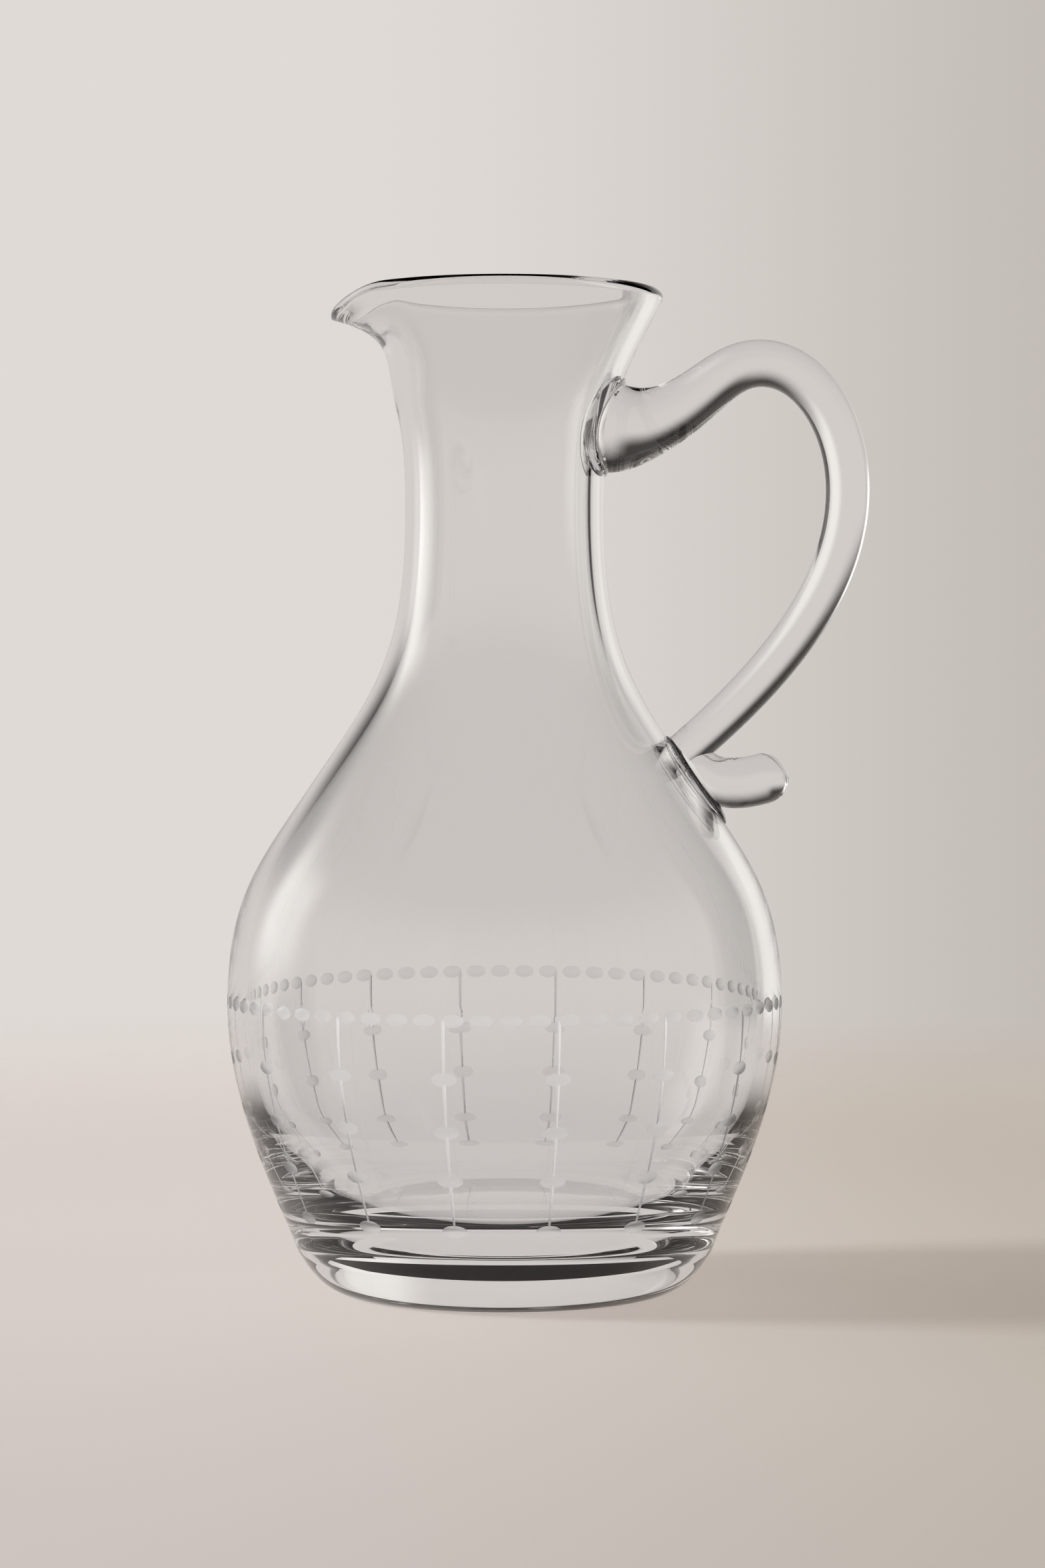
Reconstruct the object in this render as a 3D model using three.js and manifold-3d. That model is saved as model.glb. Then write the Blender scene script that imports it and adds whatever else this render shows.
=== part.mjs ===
// Clear hand-blown glass pitcher: a pear-shaped vessel with a drawn pouring lip, and a solid glass
// handle that was laid on hot. Millimetres, +Z up. The origin is the centre of the flat underside,
// the lip pours towards -X and the handle stands on +X.

import * as THREE from "three";
import { mergeVertices } from "three/addons/utils/BufferGeometryUtils.js";
import Module from "manifold-3d";

const wasm = await Module();
wasm.setup();

// Vessel, outside: where the outline passes, and how steep it is there in degrees from level
const FOOT_RADIUS = 40;
const HEEL_RADIUS = 51.9;
const HEEL_HEIGHT = 10;
const HEEL_EDGE_STEEPNESS = 60;
const HEEL_STEEPNESS = 69;
const BELLY_RADIUS = 69.3;
const BELLY_HEIGHT = 71;
const SHOULDER_RADIUS = 49.8;
const SHOULDER_HEIGHT = 123.9;
const SHOULDER_STEEPNESS = 124;
const NECK_RADIUS = 24.8;
const NECK_HEIGHT = 195;
const MOUTH_RADIUS = 39.2;
const MOUTH_HEIGHT = 246.2;
const MOUTH_STEEPNESS = 63;
const UPRIGHT = 90;

// How far the outline keeps its direction at both ends of a stretch, as shares of the stretch's height,
// or of the way to its corner for the heel
const HEEL_PULL = 0.667;
const BOWL_PULLS = [0.26, 0.4];
const LOWER_SHOULDER_PULLS = [0.5, 0.4];
const UPPER_SHOULDER_PULLS = [0.42, 0.54];
const THROAT_PULLS = [0.5, 0.48];

// Vessel, inside: wall thicknesses, the floor, and how full the corner between the two is
const LOWER_WALL = 9;
const BOWL_WALL = 5;
const BOWL_HEIGHT = 48;
const BELLY_WALL = 4.8;
const SHOULDER_WALL = 3.6;
const NECK_WALL = 4;
const RIM_WALL = 3.8;
const FLOOR_THICKNESS = 15.5;
const FLOOR_RADIUS = 33;
const FLOOR_CORNER_RISE = 13;
const FLOOR_CORNER_PULL = 0.5;

// Pouring lip: how tall the drawn glass is, how far its edge is pulled out and down, how far the
// throat below it is pressed in, how wide the pull is to either side in degrees, and how near the
// rim each of the three is felt
const LIP_HEIGHT = 27.2;
const LIP_REACH = 3.9;
const LIP_DROOP = 4.4;
const LIP_PINCH = 3.6;
const LIP_REACH_ANGLE = 52;
const LIP_DROOP_ANGLE = 42;
const LIP_REACH_SHARPNESS = 6;
const LIP_DROOP_SHARPNESS = 3;
const LIP_PINCH_SHARPNESS = 1.8;

// Handle: the loop of the rod in the XZ plane, from its seat on the neck to its seat on the shoulder.
// The upper seat lies below the mouth, the loop's top and outermost point are taken from the upper
// seat, and the lower seat lies above the shoulder's steepest level.
const UPPER_SEAT_DROP = 31.2;
const LOOP_TOP_RUN = 37.7;
const LOOP_TOP_RISE = 16;
const LOOP_OUTER_RUN = 59.5;
const LOOP_OUTER_DROP = 15.6;
const LOWER_SEAT_RISE = 9.1;
const LANDING_STEEPNESS = 40;
const ROD_RADIUS = 5.5;
const ROD_END_RADIUS = 4.9;
const ROD_SWELL = 5.8;
const ROD_SWELL_LENGTH = 12;

// How far the rod keeps its direction at both ends of a stretch, as shares of the stretch's reach or fall
const NECK_RUN_PULLS = [0.55, 0.33];
const LOOP_PULLS = [0.57, 0.54];
const FALL_PULLS = [0.34, 0.53];

// Handle: the spare end of the rod, run down the shoulder and folded back out as a stub
const FOLD_DROP = 12;
const STUB_RADIUS = 6.4;
const STUB_LENGTH = 20.6;
const STUB_RISE = 25;

// Pads of glass pressed flat between the handle and the vessel: how far they show beyond the rod at
// its ends, how much wider the lower one is than the stub on each side, and how thick they are
const PAD_MARGIN = 1.2;
const LOWER_PAD_SPREAD = 2.6;
const PAD_THICKNESS = 1.8;
const SEAM = 0.3;

// Fineness
const VESSEL_SEGMENTS = 56;
const ROD_SEGMENTS = 18;
const ROD_STEPS = 48;
const STUB_STEPS = 18;
const PAD_SEGMENTS = 24;
const PAD_RINGS = 10;

const direction = (steepness) => {
  const angle = THREE.MathUtils.degToRad(steepness);
  return new THREE.Vector2(Math.cos(angle), Math.sin(angle));
};

// One stretch of the outline between two levels, leaving and arriving along given directions
function stretch(from, fromSteepness, to, toSteepness, [startPull, endPull]) {
  const rise = to.y - from.y;
  const leave = from.clone().addScaledVector(direction(fromSteepness), rise * startPull);
  const arrive = to.clone().addScaledVector(direction(toSteepness), -rise * endPull);
  return new THREE.CubicBezierCurve(from, leave, arrive, to);
}

const heel = new THREE.Vector2(HEEL_RADIUS, HEEL_HEIGHT);
const belly = new THREE.Vector2(BELLY_RADIUS, BELLY_HEIGHT);
const shoulder = new THREE.Vector2(SHOULDER_RADIUS, SHOULDER_HEIGHT);
const neck = new THREE.Vector2(NECK_RADIUS, NECK_HEIGHT);
const mouth = new THREE.Vector2(MOUTH_RADIUS, MOUTH_HEIGHT);

const OUTLINE = [
  { curve: stretch(heel, HEEL_STEEPNESS, belly, UPRIGHT, BOWL_PULLS), steps: 7 },
  { curve: stretch(belly, UPRIGHT, shoulder, SHOULDER_STEEPNESS, LOWER_SHOULDER_PULLS), steps: 6 },
  { curve: stretch(shoulder, SHOULDER_STEEPNESS, neck, UPRIGHT, UPPER_SHOULDER_PULLS), steps: 6 },
  { curve: stretch(neck, UPRIGHT, mouth, MOUTH_STEEPNESS, THROAT_PULLS), steps: 8 },
];

const WALLS = [
  [HEEL_HEIGHT, LOWER_WALL],
  [BOWL_HEIGHT, BOWL_WALL],
  [BELLY_HEIGHT, BELLY_WALL],
  [SHOULDER_HEIGHT, SHOULDER_WALL],
  [NECK_HEIGHT, NECK_WALL],
  [MOUTH_HEIGHT, RIM_WALL],
];

// Point and outward normal of the outside at a share t of one stretch
function outsideAt(curve, t) {
  const tangent = curve.getTangent(t);
  return { point: curve.getPoint(t), normal: new THREE.Vector2(tangent.y, -tangent.x) };
}

// Point and outward normal of the outside at a level above the heel
function outsideAtHeight(height) {
  const { curve } = OUTLINE.find((part) => part.curve.v3.y >= height) ?? OUTLINE.at(-1);
  let low = 0;
  let high = 1;
  while (high - low > 1e-7) {
    const middle = (low + high) / 2;
    if (curve.getPoint(middle).y < height) low = middle;
    else high = middle;
  }
  return outsideAt(curve, low);
}

function wallAt(height) {
  const next = Math.max(1, WALLS.findIndex(([level]) => level >= height));
  const [lowLevel, lowWall] = WALLS[next - 1];
  const [highLevel, highWall] = WALLS[next];
  return THREE.MathUtils.mapLinear(height, lowLevel, highLevel, lowWall, highWall);
}

const insideOf = ({ point, normal }) => point.clone().addScaledVector(normal, -wallAt(point.y));

// Samples of the outside from the heel to the mouth
function outsideSamples() {
  const samples = [outsideAt(OUTLINE[0].curve, 0)];
  for (const { curve, steps } of OUTLINE) {
    for (let i = 1; i <= steps; i += 1) samples.push(outsideAt(curve, i / steps));
  }
  return samples;
}

// Rounded corner from a level line to a point, where it arrives along a slope. A stronger pull makes
// it fuller.
function roundedCorner(levelEnd, point, slope, pull, steps) {
  const meeting = new THREE.Vector2(point.x - ((point.y - levelEnd.y) * slope.x) / slope.y, levelEnd.y);
  const leave = levelEnd.clone().lerp(meeting, pull);
  const arrive = point.clone().lerp(meeting, pull);
  return new THREE.CubicBezierCurve(levelEnd, leave, arrive, point).getPoints(steps);
}

// Half-round edge of the rim, from the outside over to the inside
function rimArc(outer, inner, steps) {
  const centre = outer.clone().lerp(inner, 0.5);
  const arm = outer.clone().sub(centre);
  const points = [];
  for (let i = 1; i < steps; i += 1) {
    points.push(centre.clone().add(arm.clone().rotateAround(new THREE.Vector2(), (Math.PI * i) / steps)));
  }
  return points;
}

// Closed section of the vessel, from the axis under the floor, up the outside and down the inside
function vesselSection() {
  const outside = outsideSamples();
  const cornerTop = FLOOR_THICKNESS + FLOOR_CORNER_RISE;
  const lined = [outsideAtHeight(cornerTop), ...outside.filter(({ point }) => point.y > cornerTop + 1)];
  const inside = lined.map(insideOf);
  const wallSlope = inside[1].clone().sub(inside[0]);
  const underside = new THREE.Vector2(FOOT_RADIUS, 0);
  const floorEdge = new THREE.Vector2(FLOOR_RADIUS, FLOOR_THICKNESS);
  return [
    new THREE.Vector2(0, 0),
    ...roundedCorner(underside, outside[0].point, direction(HEEL_EDGE_STEEPNESS), HEEL_PULL, 4),
    ...outside.slice(1).map(({ point }) => point),
    ...rimArc(outside.at(-1).point, inside.at(-1), 4),
    ...inside.slice(1).reverse(),
    ...roundedCorner(floorEdge, inside[0], wallSlope, FLOOR_CORNER_PULL, 5).reverse(),
    new THREE.Vector2(0, FLOOR_THICKNESS),
  ];
}

// Solid of revolution about +Z
function revolve(section, segments) {
  return new THREE.LatheGeometry(section, segments).rotateX(Math.PI / 2);
}

// Bell-shaped share of a pull at an angle away from its middle
const pullShare = (angle, halfWidth) =>
  0.5 + 0.5 * Math.cos(Math.PI * Math.min(1, Math.abs(angle) / THREE.MathUtils.degToRad(halfWidth)));

// Draws the rim out and down over the pouring lip and presses in the throat below it
function drawLip(geometry) {
  const position = geometry.attributes.position;
  const vertex = new THREE.Vector3();
  for (let i = 0; i < position.count; i += 1) {
    vertex.fromBufferAttribute(position, i);
    const rise = Math.min(1, 1 - (MOUTH_HEIGHT - vertex.z) / LIP_HEIGHT);
    if (rise > 0) {
      const angle = Math.atan2(vertex.y, -vertex.x);
      const pinch = LIP_PINCH * Math.sin(Math.PI * rise ** LIP_PINCH_SHARPNESS);
      const out = LIP_REACH * rise ** LIP_REACH_SHARPNESS - pinch;
      const spread = 1 + (out * pullShare(angle, LIP_REACH_ANGLE)) / Math.hypot(vertex.x, vertex.y);
      const droop = LIP_DROOP * rise ** LIP_DROOP_SHARPNESS * pullShare(angle, LIP_DROOP_ANGLE);
      position.setXYZ(i, vertex.x * spread, vertex.y * spread, vertex.z - droop);
    }
  }
  return geometry;
}

// Vertices shared and triangles without area dropped, so that the surface is closed
function weld(geometry) {
  const bare = new THREE.BufferGeometry();
  bare.setAttribute("position", geometry.attributes.position);
  bare.setIndex(geometry.index);
  const welded = mergeVertices(bare, 1e-4);
  const corners = Array.from(welded.index.array);
  const kept = [];
  for (let i = 0; i < corners.length; i += 3) {
    const [a, b, c] = corners.slice(i, i + 3);
    if (a !== b && b !== c && c !== a) kept.push(a, b, c);
  }
  welded.setIndex(kept);
  return welded;
}

function toSolid(geometry) {
  const { attributes, index } = weld(geometry);
  const vertProperties = new Float32Array(attributes.position.array);
  const triVerts = new Uint32Array(index.array);
  return new wasm.Manifold(new wasm.Mesh({ numProp: 3, vertProperties, triVerts }));
}

function toGeometry(solid) {
  const { vertProperties, triVerts } = solid.getMesh();
  const geometry = new THREE.BufferGeometry();
  geometry.setAttribute("position", new THREE.BufferAttribute(vertProperties, 3));
  geometry.setIndex(new THREE.BufferAttribute(triVerts, 1));
  geometry.computeVertexNormals();
  return geometry;
}

// Everything inside the vessel's outside surface, grown by a clearance, over the handle's levels
function vesselEnvelope(clearance) {
  const skin = outsideSamples().slice(1, -1).map(({ point, normal }) =>
    point.clone().addScaledVector(normal, clearance));
  const axisStart = new THREE.Vector2(0, skin[0].y);
  const axisEnd = new THREE.Vector2(0, skin.at(-1).y);
  return revolve([axisStart, ...skin, axisEnd], VESSEL_SEGMENTS);
}

// Dab of glass on the vessel's outside, on the +X side: a ball pressed so that it follows the wall,
// domed by its thickness above a lift and reaching a depth below it
function dab(height, length, width, lift, thickness, depth) {
  const geometry = new THREE.SphereGeometry(1, PAD_SEGMENTS, PAD_RINGS);
  const position = geometry.attributes.position;
  const centreLean = outsideAtHeight(height).normal.x;
  for (let i = 0; i < position.count; i += 1) {
    const along = (position.getX(i) * length) / 2;
    const across = (position.getZ(i) * width) / 2;
    const dome = position.getY(i);
    const { point, normal } = outsideAtHeight(height - along * centreLean);
    const above = lift + dome * (dome > 0 ? thickness : depth);
    const angle = -across / point.x;
    const radius = point.x + normal.x * above;
    position.setXYZ(i, radius * Math.cos(angle), radius * Math.sin(angle), point.y + normal.y * above);
  }
  return geometry;
}

// Round bar along a curve in the XZ plane, with a radius that varies and rounded ends
function bar(curve, radiusAt, steps) {
  const length = curve.getLength();
  const section = [];
  for (let i = 0; i <= steps; i += 1) {
    const along = (length * i) / steps;
    const toEnd = Math.max(0, Math.min(along, length - along));
    const radius = radiusAt(along, length);
    const roundness = Math.min(1, toEnd / radius);
    section.push(new THREE.Vector2(radius * Math.sqrt(roundness * (2 - roundness)), along));
  }
  const geometry = new THREE.LatheGeometry(section, ROD_SEGMENTS);
  const position = geometry.attributes.position;
  for (let i = 0; i < position.count; i += 1) {
    const share = THREE.MathUtils.clamp(position.getY(i) / length, 0, 1);
    const centre = curve.getPointAt(share);
    const tangent = curve.getTangentAt(share);
    const aside = position.getX(i);
    position.setXYZ(i, centre.x - tangent.y * aside, position.getZ(i), centre.y + tangent.x * aside);
  }
  return geometry;
}

const upperSeat = outsideAtHeight(MOUTH_HEIGHT - UPPER_SEAT_DROP);
const lowerSeat = outsideAtHeight(SHOULDER_HEIGHT + LOWER_SEAT_RISE);
const fold = outsideAtHeight(lowerSeat.point.y - FOLD_DROP);

const rodRootRadius = ROD_RADIUS + ROD_SWELL;

// Centre line of the rod: out from the neck, over the loop and down to the shoulder. Both ends run on
// into the wall, where they are trimmed, so that the rounded ends are cut away.
function rodPath() {
  const start = upperSeat.point;
  const top = start.clone().add(new THREE.Vector2(LOOP_TOP_RUN, LOOP_TOP_RISE));
  const outer = start.clone().add(new THREE.Vector2(LOOP_OUTER_RUN, -LOOP_OUTER_DROP));
  const end = lowerSeat.point;
  const landing = direction(LANDING_STEEPNESS);
  const neckRun = new THREE.CubicBezierCurve(
    start,
    start.clone().setX(start.x + NECK_RUN_PULLS[0] * (top.x - start.x)),
    top.clone().setX(top.x - NECK_RUN_PULLS[1] * (top.x - start.x)),
    top,
  );
  const loop = new THREE.CubicBezierCurve(
    top,
    top.clone().setX(top.x + LOOP_PULLS[0] * (outer.x - top.x)),
    outer.clone().setY(outer.y + LOOP_PULLS[1] * (top.y - outer.y)),
    outer,
  );
  const fall = new THREE.CubicBezierCurve(
    outer,
    outer.clone().setY(outer.y - FALL_PULLS[0] * (outer.y - end.y)),
    end.clone().addScaledVector(landing, FALL_PULLS[1] * (outer.y - end.y)),
    end,
  );
  const path = new THREE.CurvePath();
  path.add(new THREE.LineCurve(start.clone().setX(start.x - rodRootRadius), start));
  path.add(neckRun);
  path.add(loop);
  path.add(fall);
  path.add(new THREE.LineCurve(end, end.clone().addScaledVector(landing, -ROD_END_RADIUS)));
  return path;
}

// The rod is thickest where it was first laid on the neck and is drawn thinner towards the shoulder
function rodRadius(along, length) {
  const fromNeck = Math.max(0, along - rodRootRadius);
  const swell = ROD_SWELL / (1 + (fromNeck / ROD_SWELL_LENGTH) ** 2);
  return THREE.MathUtils.lerp(ROD_RADIUS, ROD_END_RADIUS, (along / length) ** 3) + swell;
}

// Centre line of the spare end: down the shoulder from the seat and back out as a stub
function stubPath() {
  const start = lowerSeat.point.clone().addScaledVector(lowerSeat.normal, ROD_END_RADIUS / 2);
  const tip = fold.point.clone().addScaledVector(direction(STUB_RISE), STUB_LENGTH);
  return new THREE.QuadraticBezierCurve(start, fold.point, tip);
}

const stubRadius = (along, length) =>
  THREE.MathUtils.lerp(ROD_END_RADIUS, STUB_RADIUS, Math.min(1, (2 * along) / length));

// The upper pad shows all round the rod's thick end, which wraps part of the way round the neck
const UPPER_PAD = {
  height: upperSeat.point.y,
  length: 2 * (rodRootRadius + PAD_MARGIN),
  width: 2 * (upperSeat.point.x * Math.asin(rodRootRadius / upperSeat.point.x) + PAD_MARGIN),
};

// The lower pad reaches from above the rod's landing to below the fold
const LOWER_PAD = {
  height: (lowerSeat.point.y + fold.point.y) / 2,
  length: lowerSeat.point.distanceTo(fold.point) + 2 * (ROD_END_RADIUS + PAD_MARGIN),
  width: 2 * (STUB_RADIUS + LOWER_PAD_SPREAD),
};

function vessel() {
  return weld(drawLip(revolve(vesselSection(), VESSEL_SEGMENTS)));
}

function pad({ height, length, width }) {
  return weld(dab(height, length, width, SEAM, PAD_THICKNESS, 0));
}

// Room for a pad and the seam round it, reaching down into the wall
function padRoom({ height, length, width }) {
  const seams = 2 * SEAM;
  return toSolid(dab(height, length + seams, width + seams, seams, PAD_THICKNESS, PAD_THICKNESS));
}

// Rod and folded stub in one, cut to sit on the two pads and clear of the wall round them
function handle() {
  const rod = toSolid(bar(rodPath(), rodRadius, ROD_STEPS));
  const stub = toSolid(bar(stubPath(), stubRadius, STUB_STEPS));
  const wall = toSolid(vesselEnvelope(SEAM));
  const trimmed = rod.add(stub).subtract(wall);
  return toGeometry(trimmed.subtract(padRoom(UPPER_PAD)).subtract(padRoom(LOWER_PAD)));
}

const clearGlass = () => new THREE.MeshStandardMaterial({
  color: 0xe6e5e2,
  roughness: 0.04,
  metalness: 0,
  transparent: true,
  opacity: 0.4,
});

function piece(name, geometry) {
  const mesh = new THREE.Mesh(geometry, clearGlass());
  mesh.name = name;
  return mesh;
}

const pitcher = new THREE.Group();
pitcher.add(
  piece("body", vessel()),
  piece("upper_handle_pad", pad(UPPER_PAD)),
  piece("lower_handle_pad", pad(LOWER_PAD)),
  piece("handle", handle()),
);

export default pitcher;
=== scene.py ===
"""Looks of a clear hand-blown glass pitcher with matte cut ovals and lines on its belly.

Sizes are millimetres in the CAD model's frame: +Z up from the flat underside, lip towards -X, handle on +X.
They turn into metres when a mesh is made. The four glass pieces are fused, so the faces where two of them
meet carry a clear seam material and light passes from one into the other as in a single lump of glass.
"""
import math
from bisect import bisect_right

import bmesh
import bpy
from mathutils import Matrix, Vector


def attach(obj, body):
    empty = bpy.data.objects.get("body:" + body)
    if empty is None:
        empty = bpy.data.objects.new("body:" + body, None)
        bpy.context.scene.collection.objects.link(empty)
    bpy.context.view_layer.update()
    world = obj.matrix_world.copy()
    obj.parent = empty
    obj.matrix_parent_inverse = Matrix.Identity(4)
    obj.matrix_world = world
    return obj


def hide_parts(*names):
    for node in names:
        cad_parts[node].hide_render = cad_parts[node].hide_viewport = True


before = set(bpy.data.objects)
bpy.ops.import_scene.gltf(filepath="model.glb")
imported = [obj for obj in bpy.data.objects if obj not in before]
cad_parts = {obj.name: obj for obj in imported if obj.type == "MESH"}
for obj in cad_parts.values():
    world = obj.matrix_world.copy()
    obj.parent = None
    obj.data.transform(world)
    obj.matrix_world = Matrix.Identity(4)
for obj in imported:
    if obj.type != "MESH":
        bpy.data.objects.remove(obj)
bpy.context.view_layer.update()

MM = 0.001

# Vessel outline: levels, radii, and steepness in degrees from level, as in the CAD model
FOOT_RADIUS = 40.0
HEEL_RADIUS = 51.9
HEEL_HEIGHT = 10.0
HEEL_EDGE_STEEPNESS = 60
HEEL_STEEPNESS = 69
BELLY_RADIUS = 69.3
BELLY_HEIGHT = 71.0
SHOULDER_RADIUS = 49.8
SHOULDER_HEIGHT = 123.9
SHOULDER_STEEPNESS = 124
NECK_RADIUS = 24.8
NECK_HEIGHT = 195.0
MOUTH_RADIUS = 39.2
MOUTH_HEIGHT = 246.2
MOUTH_STEEPNESS = 63
UPRIGHT = 90
BOWL_PULLS = (0.26, 0.4)
LOWER_SHOULDER_PULLS = (0.5, 0.4)
UPPER_SHOULDER_PULLS = (0.42, 0.54)
THROAT_PULLS = (0.5, 0.48)

# Walls, floor and pouring lip
LOWER_WALL = 9.0
BOWL_WALL = 5.0
BOWL_HEIGHT = 48.0
BELLY_WALL = 4.8
SHOULDER_WALL = 3.6
NECK_WALL = 4.0
RIM_WALL = 3.8
FLOOR_THICKNESS = 15.5
FLOOR_RADIUS = 33.0
FLOOR_CORNER_RISE = 13.0
HEEL_PULL = 0.667
FLOOR_CORNER_PULL = 0.5
LIP_HEIGHT = 27.2
LIP_REACH = 3.9
LIP_DROOP = 4.4
LIP_PINCH = 3.6
LIP_REACH_ANGLE = 52
LIP_DROOP_ANGLE = 42
LIP_REACH_SHARPNESS = 6
LIP_DROOP_SHARPNESS = 3
LIP_PINCH_SHARPNESS = 1.8

# Handle: rod, folded stub and the two pressed pads
UPPER_SEAT_DROP = 31.2
LOOP_TOP_RUN = 37.7
LOOP_TOP_RISE = 16.0
LOOP_OUTER_RUN = 59.5
LOOP_OUTER_DROP = 15.6
LOWER_SEAT_RISE = 9.1
LANDING_STEEPNESS = 40
ROD_RADIUS = 5.5
ROD_END_RADIUS = 4.9
ROD_SWELL = 5.8
ROD_SWELL_LENGTH = 12.0
ROD_TAPER_SHARPNESS = 3
NECK_RUN_PULLS = (0.55, 0.33)
LOOP_PULLS = (0.57, 0.54)
FALL_PULLS = (0.34, 0.53)
FOLD_DROP = 12.0
STUB_RADIUS = 6.4
STUB_LENGTH = 20.6
STUB_RISE = 25
PAD_MARGIN = 1.2
LOWER_PAD_SPREAD = 2.6
PAD_HEIGHT = 2.1
PAD_ROOT = 0.5
SEAM_DEPTH = 0.03

# Cut decoration: a ring of ovals round the belly, and strings of ovals and lines hanging from it
RING_HEIGHT = 72.5
RING_OVALS = 64
RING_START_ANGLE = 1.1
RING_OVAL_WIDTH = 5.5
RING_OVAL_HEIGHT = 3.1
STRINGS = 16
STRING_START_ANGLE = 10.5
STRING_OVAL_HEIGHTS = (58.7, 46.0, 34.1, 21.6)
STRING_OVAL_WIDTH = 6.2
STRING_OVAL_HEIGHT = 3.4
OVAL_DEPTH = 0.3
LINE_TOP_WIDTH = 0.9
LINE_FOOT_WIDTH = 0.5
LINE_DEPTH = 0.22
CUTTER_LIFT = 0.25

# Fineness of the meshes
VESSEL_SEGMENTS = 240
OUTLINE_STEPS = 30
CORNER_STEPS = 20
LOOKUP_STEPS = 400
STRAIGHT_STEPS = 8
ROD_SEGMENTS = 128
ROD_STEPS = 440
STUB_STEPS = 90
PAD_SEGMENTS = 72
PAD_RINGS = 28
OVAL_SEGMENTS = 36
OVAL_RINGS = 4
LINE_STEPS = 8
STAGE_SEGMENTS = 96
SAMPLE_GAP = 1.0
AXIS_TOLERANCE = 1e-6
CREASE_ANGLE = 40

# Glass: colour, refraction, and the finish of each surface. Scales are those of noise in metres, heights are
# bumps in millimetres, and a clear share under 1 leaves the rest matte white
GLASS = (0.985, 0.988, 0.984)
GLASS_IOR = 1.51
VESSEL_FINISH = {"roughness": (0.0, 0.012), "wave_scale": 18, "wave_height": 0.02}
HANDLE_FINISH = {"roughness": (0.0, 0.012), "wave_scale": 30, "wave_height": 0.03}
OVAL_FINISH = {
    "roughness": (0.32, 0.42),
    "wave_scale": 60,
    "wave_height": 0.02,
    "grain_scale": 2600,
    "grain_height": 0.03,
    "clear_share": 0.9,
}
LINE_FINISH = {**OVAL_FINISH, "roughness": (0.3, 0.4), "grain_height": 0.01, "clear_share": 0.75}
WAVE_DETAIL = 1
GRAIN_DETAIL = 2
HAZE_DETAIL = 3
HAZE_FINENESS = 3
NOISE_RANGE = (0.3, 0.7)

# Floor: the light it gives off, lighter on the left and towards the back as painted light falloff, its
# paper, and the places in millimetres where its tone changes or ends
FLOOR_LEFT = (0.475, 0.42, 0.395)
FLOOR_RIGHT = (0.32, 0.27, 0.22)
FLOOR_IN_GLASS = (0.62, 0.58, 0.565)
FLOOR_PAPER = (0.8, 0.78, 0.75)
FLOOR_FRONT_SHARE = 0.84
FLOOR_ACROSS = (-100, 200)
FLOOR_FRONT_TO_BACK = (-300, 100)
FLOOR_FADE = (150, 900)
STAGE_RADIUS = 1200
STAGE_TOP = -0.2
STAGE_UNDERSIDE = -4

# Black card round the base, in millimetres, which paints shade: it shows only to light that has crossed one
# or two glass surfaces, and puts dark bands into the thick base
PAINTED_SHADE_CARD = (0.01, 0.01, 0.01)
CARD_RADIUS = 80
CARD_THICKNESS = 1
CARD_LEVELS = (17, 50)
CARD_FADE_START = 26
CARD_CROSSINGS = 1.5
CARD_CROSSINGS_SPREAD = 1

# Lamps and studio: light, and angles in degrees from +Y towards +X and up from level. A panel that reaches
# OVERHEAD has no upper edge, and BACKDROP_ACROSS is the sideways part of a direction of length 1
KEY_LIGHT = {"strength": 1.4, "azimuth": -92, "elevation": 18, "size": 14}
FILL_LIGHT = {"strength": 3.2, "azimuth": -165, "elevation": 20, "size": 50}
BACKDROP_LEFT = (0.74, 0.70, 0.67)
BACKDROP_RIGHT = (0.52, 0.48, 0.45)
BACKDROP_ACROSS = (-0.05, 0.2)
SURROUND = (0.65, 0.61, 0.59)
CEILING = (0.006, 0.0055, 0.005)
CEILING_START = 10
CEILING_FULL = 44
OVERHEAD = 110
UPPER_LEFT_FLAG = {"left": -50, "right": -8, "low": 15, "high": OVERHEAD, "softness": 18}
RIGHT_FLAG = {"left": 46, "right": 78, "low": -12, "high": OVERHEAD, "softness": 4}
RIGHT_PANEL = {"left": 18, "right": 39, "low": -30, "high": 15, "softness": 12}
RIGHT_PANEL_LIGHT = (0.88, 0.85, 0.82)
LEFT_SOFTBOX = {"left": -80, "right": -52, "low": 0, "high": 28, "softness": 12}
LEFT_SOFTBOX_LIGHT = (1.7, 1.66, 1.62)
PANELS = (
    (UPPER_LEFT_FLAG, CEILING),
    (RIGHT_FLAG, CEILING),
    (RIGHT_PANEL, RIGHT_PANEL_LIGHT),
    (LEFT_SOFTBOX, LEFT_SOFTBOX_LIGHT),
)

# Light paths: enough bounces to pass through every wall of the glass
BOUNCES = 32
GLOSSY_BOUNCES = 16

# Camera, fitted to the photograph: millimetres, degrees and the photograph's pixels
CAMERA_DISTANCE = 925.0
CAMERA_HEIGHT = 147.0
CAMERA_PITCH = 1.30
CAMERA_YAW = 0.274
FOCAL_PIXELS = 5550.0
IMAGE_HEIGHT = 2352.0
SENSOR = 36.0


# Outline of the vessel

def direction(steepness):
    """Direction of length 1 at a steepness from level."""
    angle = math.radians(steepness)
    return Vector((math.cos(angle), math.sin(angle)))


def bezier(controls, share):
    """Point at a share of a Bezier curve, by stepping between its control points until one is left."""
    points = list(controls)
    while len(points) > 1:
        points = [a.lerp(b, share) for a, b in zip(points, points[1:])]
    return points[0]


def bezier_tangent(controls, share):
    return bezier([b - a for a, b in zip(controls, controls[1:])], share).normalized()


def stretch(start, start_steepness, end, end_steepness, pulls):
    """Controls of one stretch of the outline, which leaves and arrives along given directions."""
    rise = end.y - start.y
    leave = start + direction(start_steepness) * rise * pulls[0]
    arrive = end - direction(end_steepness) * rise * pulls[1]
    return [start, leave, arrive, end]


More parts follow.
